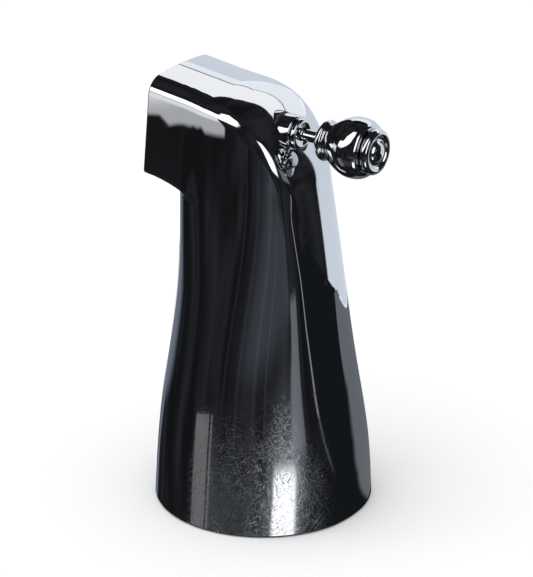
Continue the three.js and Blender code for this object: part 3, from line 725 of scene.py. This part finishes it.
def wall_boss(name, centre, way, inner, outer):
    """A round sleeve from a centre along a direction into the middle of the shell's wall."""
    around = 64
    way = np.array(way, float)
    side = np.array([0, 1.0, 0])
    up = np.cross(way, side)
    angle = 2 * np.pi * np.arange(around)[:, None] / around
    ring = np.cos(angle) * side + np.sin(angle) * up
    rows = []
    for radius in (inner, outer):
        start = np.array(centre) + radius * ring
        near, far = np.full((around, 1), -14.0), np.full((around, 1), 30.0)
        for _ in range(24):
            middle = (near + far) / 2
            outside = shell_distance(start + middle * way)[:, None] + WALL / 2 > 0
            far, near = np.where(outside, middle, far), np.where(outside, near, middle)
        rows.append((start + np.minimum(near - 0.1, 0) * way, start + near * way))
    (inner_start, inner_end), (outer_start, outer_end) = rows
    points = np.concatenate([inner_end, inner_start, outer_start, outer_end])
    made = make_object(name, points, grid_faces(4, around, True), [CAST])
    shape = bmesh.new()
    shape.from_mesh(made.data)
    bmesh.ops.recalc_face_normals(shape, faces=shape.faces)
    shape.to_mesh(made.data)
    shape.free()
    smooth_shade(made)
    return made


def shell_inner_castings():
    """Hub and ribs that hold the inlet collar, the two screw posts and the bonnet's boss."""
    outline = disc_outline(COLLAR_RADIUS + FIT, HUB_RADIUS, HUB_BOTTOM_Z, HUB_TOP_Z)
    hub = turned("shell_hub_and_ribs", eased(outline, 0.6), CAST)
    for turn in (45, 135, 225, 315):
        across = direction(turn + 90, 0)
        side = Vector((-across.y, across.x, 0)) * RIB_HALF_THICKNESS
        corners = []
        for reach, z in ((14, HUB_BOTTOM_Z), (31.6, HUB_BOTTOM_Z), (27.8, HUB_TOP_Z), (14, HUB_TOP_Z)):
            for way in (-1, 1):
                corners.append(across * reach + side * way + Vector((0, 0, z)))
        faces = [(0, 2, 3, 1), (2, 4, 5, 3), (4, 6, 7, 5), (6, 0, 1, 7), (0, 6, 4, 2), (1, 3, 5, 7)]
        rib = make_object("rib", corners, faces, [CAST])
        join(hub, [rib])
    smooth_shade(hub)
    boss_start = (4.8, 0, KNOB_AXIS_Z)
    boss = wall_boss("bonnet_boss", boss_start, (1, 0, 0), BONNET_RADIUS + FIT, 8.4)
    castings = [hub, boss]
    for name, side in (("screw_post_left", -1), ("screw_post_right", 1)):
        foot = (SCREW_X, side * SCREW_Y, EAR_TOP_Z + FIT)
        castings.append(wall_boss(name, foot, (0, 0, 1), 1.5, 2.3))
    for casting in castings:
        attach(casting, "spout")


# --- pieces inside the spout


def ring_outline(radius, size, height):
    """Round section of a rubber ring."""
    angles = np.linspace(0, 2 * math.pi, 20, endpoint=False)
    return [(radius + size * math.cos(a), height + size * math.sin(a)) for a in angles]


def rubber_rings():
    bore, tube = PIPE_BORE_RADIUS - 0.55, TUBE_RADIUS + FIT
    in_bonnet = BONNET_RADIUS - BONNET_GROOVE_DEPTH
    for node, inner, outer, place, along in (
        ("inlet_o_ring_front", bore, INLET_GROOVE_RADIUS, INLET_RING_Z[0], "z"),
        ("inlet_o_ring_rear", bore, INLET_GROOVE_RADIUS, INLET_RING_Z[1], "z"),
        ("tube_o_ring_lower", TUBE_GROOVE_RADIUS, tube, TUBE_RING_Z[0], "z"),
        ("tube_o_ring_upper", TUBE_GROOVE_RADIUS, tube, TUBE_RING_Z[1], "z"),
        ("bonnet_o_ring", in_bonnet, BONNET_RADIUS + FIT, sum(BONNET_GROOVE_X) / 2, "x"),
        ("stem_o_ring", ROD_RADIUS, GLAND_RADIUS, GLAND_START_X + 1, "x"),
    ):
        outline = ring_outline((inner + outer) / 2, (outer - inner) / 2 - RING_SQUEEZE, place)
        centre = ABOUT_ROD if along == "x" else (0, 0, 0)
        install(turned(node + "_rubber", outline, RUBBER, along, centre, 64), node, "spout")


def inlet_collar():
    """A pipe bore with two ring grooves, a socket for the tube, and a boss for the set screw."""
    socket = TUBE_RADIUS + FIT
    clip_start, clip_end = CLIP_GROOVE_Z
    outline = [
        (PIPE_BORE_RADIUS, COLLAR_BOTTOM_Z),
        (COLLAR_RADIUS, COLLAR_BOTTOM_Z),
        (COLLAR_RADIUS, clip_start),
        (CLIP_GROOVE_RADIUS, clip_start),
        (CLIP_GROOVE_RADIUS, clip_end),
        (COLLAR_RADIUS, clip_end),
        (COLLAR_RADIUS, COLLAR_TOP_Z),
        (socket, COLLAR_TOP_Z),
        (socket, SOCKET_BOTTOM_Z),
        (TUBE_BORE_RADIUS, SOCKET_BOTTOM_Z),
        (TUBE_BORE_RADIUS, PIPE_STOP_Z),
        (PIPE_BORE_RADIUS, PIPE_STOP_Z),
    ]
    for middle in INLET_RING_Z[::-1]:
        outline += groove_outline(PIPE_BORE_RADIUS, INLET_GROOVE_RADIUS, middle, -1)
    collar = turned("brass_inlet_collar", eased(outline, 0.35, 3), BRASS)
    boss_outline = disc_outline(0, SCREW_BOSS_RADIUS, SCREW_BOSS_START_X, SCREW_BOSS_END_X)
    boss = turned("boss", eased(boss_outline, 0.5), BRASS, "x", AT_SCREW)
    hole = turned("hole", disc_outline(0, SCREW_HOLE_RADIUS, -18, -7.1), BRASS, "x", AT_SCREW)
    join(collar, [boss])
    cut(collar, [hole])
    smooth_shade(collar)
    install(collar, "inlet_collar", "spout")


def clamp_set_screw():
    """A hex socket at the outer end, a cupped point at the inner one."""
    outline = [(0, -15.2), (2.6, -15.2), (SET_SCREW_RADIUS, -14.8)]
    outline += thread_outline(SET_SCREW_RADIUS, -14.6, -10.4, 0.5)
    outline += [(SET_SCREW_RADIUS, -10.2), (1.8, -9), (1.2, -9), (0.9, -9.5), (0, -9.5)]
    screw = turned("socket_set_screw", outline, STEEL_X, "x", AT_SCREW, 64)
    cut(screw, [turned("socket", disc_outline(0, 1.7, -16, -12.4), STEEL_X, "x", AT_SCREW, 6)])
    smooth_shade(screw)
    install(screw, "clamp_set_screw", "spout")


def collar_retaining_clip():
    start, end = CLIP_GROOVE_Z
    outline = disc_outline(CLIP_GROOVE_RADIUS + FIT, CLIP_RADIUS, start + CLIP_PLAY, end - CLIP_PLAY)
    clip = turned("snap_ring", eased(outline, 0.25, 3), STEEL)
    cut(clip, [block("gap", (9, -2.2, 39), (16, 2.2, 44), STEEL)])
    smooth_shade(clip)
    install(clip, "collar_retaining_clip", "spout")


def waterway_tube():
    outline = [(TUBE_BORE_RADIUS, SOCKET_BOTTOM_Z + FIT), (TUBE_RADIUS, SOCKET_BOTTOM_Z + FIT)]
    for middle in TUBE_RING_Z:
        outline += groove_outline(TUBE_RADIUS, TUBE_GROOVE_RADIUS, middle, 1)
    outline += [(TUBE_RADIUS, TUBE_TOP_Z), (TUBE_BORE_RADIUS, TUBE_TOP_Z)]
    install(turned("brass_waterway", eased(outline, 0.3, 3), BRASS), "waterway_tube", "spout")


def small_turned_pieces():
    """Valve seat, packing washer and the two cross-head screws of the diverter block."""
    seat = eased(disc_outline(4, 5.7, SEAT_Z - 1.7, SEAT_Z), 0.3)
    install(turned("brass_seat", seat, BRASS, "z", (PORT_X, 0, 0)), "valve_seat", "spout")
    washer = eased(disc_outline(ROD_BORE_RADIUS, 3.3, 11.8, 12.6), 0.15)
    install(turned("brass_packing", washer, BRASS_X, "x", ABOUT_ROD), "packing_washer", "spout")
    for node, side in (("diverter_screw_left", -1), ("diverter_screw_right", 1)):
        outline = [(0, 114.5), (1.4, 114.55), (2.1, 114.9), (2.4, 115.5), (2.4, 116.2), (1.2, 116.2)]
        outline += thread_outline(1.2, EAR_TOP_Z + 0.4, 126, 0.6)
        outline += [(1.2, 126.4), (0, 127.4)]
        x, y = SCREW_X, side * SCREW_Y
        screw = turned(node + "_head", outline, STEEL, "z", (x, y, 0), 48)
        for dx, dy in ((1.6, 0.3), (0.3, 1.6)):
            cut(screw, [block("arm", (x - dx, y - dy, 114), (x + dx, y + dy, 115.5), STEEL)])
        smooth_shade(screw)
        install(screw, node, "spout")


def moulded_pieces():
    """Block, gate and facing: the CAD shape with its edges rounded over."""
    for node, body, material, radius in (
        ("diverter_body", "spout", ACETAL, 0.3),
        ("gate_plate", "gate", ACETAL, 0.3),
        ("gate_washer", "gate", RUBBER, 0.15),
    ):
        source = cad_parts[node]
        made = add_object(node + "_moulding", source.data.copy())
        made.matrix_world = source.matrix_world.copy()
        made.data.materials.clear()
        made.data.materials.append(material)
        shape = bmesh.new()
        shape.from_mesh(made.data)
        bmesh.ops.remove_doubles(shape, verts=shape.verts, dist=1e-6)
        bmesh.ops.dissolve_limit(shape, angle_limit=math.radians(1), verts=shape.verts, edges=shape.edges)
        shape.to_mesh(made.data)
        shape.free()
        step = made.modifiers.new("rounded", "BEVEL")
        step.width = radius * MM
        step.segments = 3
        step.limit_method = "ANGLE"
        step.angle_limit = math.radians(40)
        apply_modifiers(made)
        smooth_shade(made, 35)
        install(made, node, body)


# --- bonnet, rod and knob


def bonnet():
    groove = BONNET_RADIUS - BONNET_GROOVE_DEPTH
    outline = [
        (ROD_BORE_RADIUS, BONNET_START_X),
        (BONNET_RADIUS, BONNET_START_X),
        (BONNET_RADIUS, BONNET_GROOVE_X[0]),
        (groove, BONNET_GROOVE_X[0]),
        (groove, BONNET_GROOVE_X[1]),
        (BONNET_RADIUS, BONNET_GROOVE_X[1]),
        (BONNET_RADIUS, BONNET_END_X),
        (GLAND_RADIUS, BONNET_END_X),
        (GLAND_RADIUS, GLAND_START_X),
        (ROD_BORE_RADIUS, GLAND_START_X),
    ]
    install(turned("bonnet_sleeve", eased(outline, 0.45), CHROME_TRIM, "x", ABOUT_ROD), "bonnet", "spout")


def bonnet_nut():
    shape = Outline(12.9, ROD_BORE_RADIUS).line(12.9, 3.3).line(13.5, 3.3).line(13.5, NUT_RADIUS - 0.4)
    shape.curve((13.5, NUT_RADIUS), (13.9, NUT_RADIUS), steps=6).line(14.6, NUT_RADIUS)
    shape.curve((15.05, NUT_RADIUS), (NUT_END_X, NUT_RADIUS - 0.6), steps=6)
    shape.line(NUT_END_X, ROD_BORE_RADIUS + 0.25).line(NUT_END_X - 0.2, ROD_BORE_RADIUS)
    install(turned("gland_nut", shape.turned(), CHROME_TRIM, "x", ABOUT_ROD), "bonnet_nut", "spout")


def lift_rod():
    outline = [(0, ROD_HEAD_START_X), (ROD_HEAD_RADIUS, ROD_HEAD_START_X)]
    outline += [(ROD_HEAD_RADIUS, ROD_HEAD_END_X), (ROD_RADIUS, ROD_HEAD_END_X)]
    outline += [(ROD_RADIUS, ROD_END_X), (0, ROD_END_X)]
    install(turned("diverter_rod", eased(outline, 0.3), CHROME_TRIM, "x", ABOUT_ROD), "lift_rod", "knob")


def knob_body():
    """Neck ring, bead and a bulb that widens to the end, as one turned finial."""
    shape = Outline(KNOB_START_X, ROD_BORE_RADIUS).line(KNOB_START_X, 3.0)
    shape.curve((KNOB_START_X, 3.3), (21.5, 3.4), steps=5).curve((22.7, 3.9), (23.15, 5.4))
    shape.arc(BEAD_X, BEAD_MIDDLE_RADIUS, BEAD_SIZE, math.pi * 0.87, math.pi * 0.1)
    shape.curve((25.4, 5.3), (25.8, 5.6))
    shape.curve((28.6, 7.0), (31.4, KNOB_RADIUS), (35, KNOB_RADIUS), steps=30)
    shape.curve((38.2, KNOB_RADIUS), (39.5, 8.3))
    shape.curve((KNOB_END_X, 7.8), (KNOB_END_X, 7.2), steps=6)
    shape.line(KNOB_END_X, KNOB_HOLE_RADIUS).line(KNOB_HOLE_X, KNOB_HOLE_RADIUS)
    shape.line(KNOB_HOLE_X, ROD_BORE_RADIUS)
    install(turned("finial_knob", shape.turned(), CHROME_TRIM, "x", ABOUT_ROD, 128), "knob_body", "knob")


def knob_end_button():
    """A stem pressed into the knob, under a head with a raised ring and a domed middle."""
    start = KNOB_END_X + FIT
    shape = Outline(start - 3.4, 0).line(start - 3.4, 3).line(start, 3).line(start, 6.3)
    shape.curve((start + 0.2, 7.5), (start + 2.2, 7.6), (start + 2.7, 6.3))
    shape.curve((start + 3, 5.4), (start + 2.1, 4.7)).curve((start + 1.7, 4), (start + 2.4, 3.3))
    shape.curve((start + 3.2, 2.8), (start + 3.5, 1.6), (start + 3.5, 0))
    made = turned("knob_button", shape.turned(), CHROME_TRIM, "x", ABOUT_ROD, 128)
    install(made, "knob_end_button", "knob")


# --- stage: floor, dark room and white cards


def glowing(n, strength, colour, see_through=False):
    """A material that only glows; a see-through one adds its light to whatever is behind it."""
    n.tree.nodes.remove(n.shader)
    light = n.add("ShaderNodeEmission", {"Color": (*colour, 1), "Strength": strength}).outputs[0]
    if see_through:
        clear = n.add("ShaderNodeBsdfTransparent").outputs[0]
        light = n.add("ShaderNodeAddShader", {0: light, 1: clear}).outputs[0]
    n.feed(n.tree.nodes["Material Output"].inputs["Surface"], light)
    return n.material


def reflected_only(made):
    """A stage piece that is there for the chrome to mirror."""
    made.visible_camera = False
    made.visible_diffuse = False
    made.visible_shadow = False
    made.visible_transmission = False
    return made


FAR = 2500.0
NEAR = 250
NOSE_SHEET = 60
TABLE = 0.0
TARGET = Vector((0, 0, 95))
WHITE = (1, 1, 1)
COOL = (0.9, 0.97, 1.06)
BLUE = (0.84, 0.94, 1.2)
PALE = (0.95, 0.985, 1.03)


def card_place(space, azimuth, height):
    """A far card is set by direction, a near one by height on a cylinder, one on the table by radius."""
    if space == FAR:
        return TARGET + FAR * direction(azimuth, height)
    if space == TABLE:
        return height * direction(azimuth, 0)
    return space * direction(azimuth, 0) + Vector((0, 0, height))


def soft_card(name, space, stops, soft, level, colour, upright=True):
    """A glowing card with soft edges, for the chrome to mirror.

    Upright stops are (height, left, right) going up; the others are (azimuth, bottom, top) going
    round. soft gives the share of the card taken by its left, right, bottom and top edges.
    """
    along, between, across = [], 4, 16
    for first, second in zip(stops, stops[1:]):
        along += [np.add(first, np.subtract(second, first) * t) for t in np.arange(between) / between]
    along.append(np.array(stops[-1], float))
    vertices, marks = [], []
    for step, low, high in along:
        share = (step - stops[0][0]) / (stops[-1][0] - stops[0][0])
        for i in range(across + 1):
            value = low + (high - low) * i / across
            vertices.append(card_place(space, value, step) if upright else card_place(space, step, value))
            marks.append((i / across, share) if upright else (share, i / across))
    faces = []
    for i in range(len(along) - 1):
        for j in range(across):
            corner = i * (across + 1) + j
            faces.append((corner, corner + 1, corner + across + 2, corner + across + 1))
    made = make_object(name, vertices, faces, [soft_glow(name + "_light", soft, level, colour)])
    layer = made.data.uv_layers.new(name="card")
    for loop in made.data.loops:
        layer.data[loop.index].uv = marks[loop.vertex_index]
    return reflected_only(made)


def soft_glow(name, soft, level, colour):
    """Light that fades at the card's edges."""
    n = Nodes(name)
    place = n.add("ShaderNodeUVMap", uv_map="card").outputs[0]
    sides = n.add("ShaderNodeSeparateXYZ", {0: place}).outputs
    left, right, bottom, top = soft
    strength = level
    for side, width in ((0, left), (0, -right), (1, bottom), (1, -top)):
        if width > 0:
            strength = n.math("MULTIPLY", n.ramp(sides[side], 0.0, width), strength)
        elif width < 0:
            strength = n.math("MULTIPLY", n.ramp(sides[side], 1 + width, 1.0, 1.0, 0.0), strength)
    return glowing(n, strength, colour, True)


def stage_floor():
    side, z = 4000, -0.3
    corners = [(-side, -side, z), (side, -side, z), (side, side, z), (-side, side, z)]
    paper = Nodes("pale_paper")
    fibre = paper.noise(6, 3.0)
    paper.set(Base_Color=paper.mix_colour(fibre, (0.86, 0.86, 0.86), (0.9, 0.9, 0.9)), Roughness=0.9)
    floor = make_object("floor", corners, [(0, 1, 2, 3)], [paper.material])
    floor.visible_glossy = False


def dark_room():
    """A nearly black surround with a faint unevenness."""
    n = Nodes("dark_room_light")
    cloud = n.ramp(n.noise(1.5, 2.0), 0.34, 0.68, 0.009, 0.024)
    room = make_object("dark_room", [], [], [glowing(n, cloud, (0.95, 0.98, 1.08))])
    ball = bmesh.new()
    bmesh.ops.create_icosphere(ball, subdivisions=4, radius=3.0)
    ball.to_mesh(room.data)
    ball.free()
    reflected_only(room)


def wall_cards():
    """The white wall behind, in three sheets with thin gaps, and the table in front of its foot."""
    low = [(142, -40, 18), (146, -40, 22), (159, -40, 25.5), (170, -40, 25.7), (226, -40, 25.7)]
    middle = [(142, 18, 28), (146, 22, 29), (159, 25.5, 35.3), (200, 25.7, 35.4), (212, 25.7, 29.2)]
    middle += [(226, 25.7, 28)]
    high = [(142, 28.6, 34), (160, 35, 41), (168, 35.65, 43.3), (190, 35.65, 46.5), (200, 35.65, 46)]
    high += [(212, 29.6, 42), (226, 28.6, 40)]
    soft_card("wall_low", FAR, low, (0.01, 0, 0, 0), 0.84, COOL, False)
    soft_card("wall_middle", FAR, middle, (0, 0, 0, 0.015), 1.1, PALE, False)
    soft_card("wall_high", FAR, high, (0, 0, 0.015, 0.05), 1.15, WHITE, False)
    table = [(70, 48), (95, 70), (100, 600), (125, 560), (135, 420), (142, 327), (148, 291), (160, 237)]
    table += [(170, 211), (185, 193), (200, 186), (220, 200), (235, 232)]
    corners = [card_place(TABLE, azimuth, radius) for azimuth, radius in table] + [Vector((0, 0, 0))]
    corners = [corner - Vector((0, 0, 0.2)) for corner in corners]
    shade = glowing(Nodes("table_back_shade"), 0.0105, (0.86, 1, 1.14))
    reflected_only(make_object("table_back", corners, [tuple(range(len(corners)))], [shade]))
    grey = [(36, 110, 236), (60, 123, 236), (100, 132, 236), (186, 141, 236), (187, 141, 205)]
    grey += [(196, 141.5, 182), (211, 142, 171), (237, 143, 161), (291, 145, 149)]
    soft_card("table_back_grey", TABLE, grey, (0.06, 0, 0, 0), 0.165, COOL)


def left_cards():
    """Window light on the left of the body and nose, and the grey strip at its foot."""
    rim = [(214, -25, -19), (228, -25, -17), (238, -24, -14)]
    soft_card("left_rim_white", FAR, rim, (0, 0.5, 0.2, 0.2), 1.4, WHITE, False)
    rim = [(-40, 232, 244), (-25, 232, 246), (-22, 232, 252), (-20, 232, 262), (-18, 232, 268)]
    rim += [(-12, 232, 274)]
    soft_card("left_rim_grey", FAR, rim, (0.1, 0.4, 0, 0.2), 0.19, BLUE)
    ribbon = [(6, -48, -29), (13, -47, -22), (24, -46.5, -6), (28, -46, -1), (31, -33, 4), (40, -31, 14)]
    ribbon += [(50, -33, 23), (60, -30, 38), (78, -20, 60)]
    soft_card("left_soft_light", FAR, ribbon, (0.08, 0.2, 0.12, 0.06), 1.8, WHITE)
    sheet = [(-56, 117.6), (-49, 116.4), (-47.5, 114.4), (-46, 112.4), (-43, 112.8), (-40, 111.2)]
    sheet.append((-26, 110.8))
    sheet = [(azimuth, bottom, 140) for azimuth, bottom in sheet]
    soft_card("outlet_sheet", NOSE_SHEET, sheet, (0.03, 0.04, 0.08, 0.2), 0.5, WHITE, False)
    top = [(118, -56, -26), (140, -56, -26)]
    soft_card("outlet_sheet_top", NOSE_SHEET, top, (0.05, 0.04, 0.4, 0.2), 0.45, WHITE)
    strip = [(-41.5, -200, -5.5), (-25, -200, 5)]
    soft_card("low_grey_strip", NEAR, strip, (0.08, 0.04, 0, 0.01), 0.17, WHITE, False)
    line = [(-23.6, -200, 5.5), (-21, -200, 6.5)]
    soft_card("low_thin_line", NEAR, line, (0.3, 0.3, 0, 0.01), 0.2, WHITE, False)


def front_cards():
    """Table, haze, the white patch at the foot, fine lines and the light on the knob's side."""
    soft_card("table_front", NEAR, [(-160, -22, 40), (5, -22, 40)], (0, 0.1, 0, 0.4), 0.034, COOL)
    soft_card("front_haze", NEAR, [(26, -12, 66), (80, -4, 66)], (0.5, 0.2, 0.3, 0.3), 0.045, BLUE)
    white = [(-180, 40.6, 68), (-40, 40.6, 67), (-12, 41, 65)]
    soft_card("low_white", NEAR, white, (0.12, 0.2, 0, 0.16), 1.5, WHITE)
    halo = [(-130, 26, 85), (12, 30, 82), (40, 34, 86)]
    soft_card("low_white_glow", NEAR, halo, (0.4, 0.5, 0, 0.45), 0.2, COOL)
    soft_card("grey_streak", NEAR, [(-20, 58, 82), (44, 60, 84)], (0.12, 0.12, 0.3, 0.12), 0.15, COOL)
    on_table = [(74, 105, 107.4), (90, 106, 108.6), (108, 107, 109.4), (157, 107, 109.4), (251, 106.6, 109)]
    soft_card("crease_line_on_table", TABLE, on_table, (0.35, 0.35, 0.3, 0), 0.13, WHITE)
    crease = [(-1, 107.7), (4, 106.5), (19, 102), (42, 99), (63, 93), (76, 89.3)]
    half = 1.3
    crease = [(height, azimuth - half, azimuth + half) for height, azimuth in crease]
    streaks = (-62, 9, 0.01), (-15, 5, 0.012), (0, 4, 0.012), (17, 7, 0.016), (30, 4, 0.02)
    for azimuth, width, strength in streaks:
        streak = [(-30, azimuth, azimuth + width), (95, azimuth + 2, azimuth + width)]
        soft_card("faint_streak", NEAR, streak, (0.3, 0.4, 0.3, 0.3), strength, COOL)
    soft_card("crease_line", NEAR, crease, (0.3, 0.3, 0, 0.05), 0.3, WHITE)
    right = [(0, 46, 66), (5, 45, 68), (15, 48, 76), (25, 54, 84), (35, 60, 90), (46, 66, 92)]
    soft_card("right_soft_light", FAR, right, (0.15, 0.3, 0.06, 0.1), 1.8, WHITE)
    soft_card("right_haze", FAR, [(0, 76, 112), (14, 76, 112)], (0.1, 0.3, 0.2, 0.2), 0.17, WHITE)


def aim(made, target):
    """Turns a camera or a lamp towards a point in metres."""
    look = Vector(target) - made.location
    made.rotation_euler = look.to_track_quat("-Z", "Y").to_euler()


def camera():
    """At the photograph's viewing angle: a long lens, a little above."""
    azimuth, elevation = 35.5, 26.5
    distance, look_height = 1100.0, 70.4
    data = bpy.data.cameras.new("camera")
    data.lens = 211.2
    data.sensor_width = 36.0
    data.shift_x = 0.0055
    data.clip_end = 100.0
    made = add_object("camera", data)
    made.location = distance * direction(azimuth, elevation) * MM
    aim(made, (0, 0, look_height * MM))
    bpy.context.scene.camera = made


def light():
    """An even pale surround for the floor, and one large soft light above."""
    world = bpy.data.worlds.new("pale_surround")
    world.use_nodes = True
    background = world.node_tree.nodes["Background"]
    background.inputs["Color"].default_value = (1, 1, 1, 1)
    background.inputs["Strength"].default_value = 1.0
    bpy.context.scene.world = world
    data = bpy.data.lights.new("soft_top_light", "AREA")
    data.size = 1.2
    data.energy = 8
    lamp = add_object("soft_top_light", data)
    lamp.location = (-0.3, -0.4, 1.6)
    aim(lamp, (0, 0, 0.07))
    lamp.visible_glossy = False
    bpy.context.scene.view_settings.view_transform = "Standard"


spout_shell()
shell_inner_castings()
rubber_rings()
inlet_collar()
clamp_set_screw()
collar_retaining_clip()
waterway_tube()
small_turned_pieces()
moulded_pieces()
bonnet()
bonnet_nut()
lift_rod()
knob_body()
knob_end_button()
stage_floor()
dark_room()
wall_cards()
left_cards()
front_cards()
camera()
light()
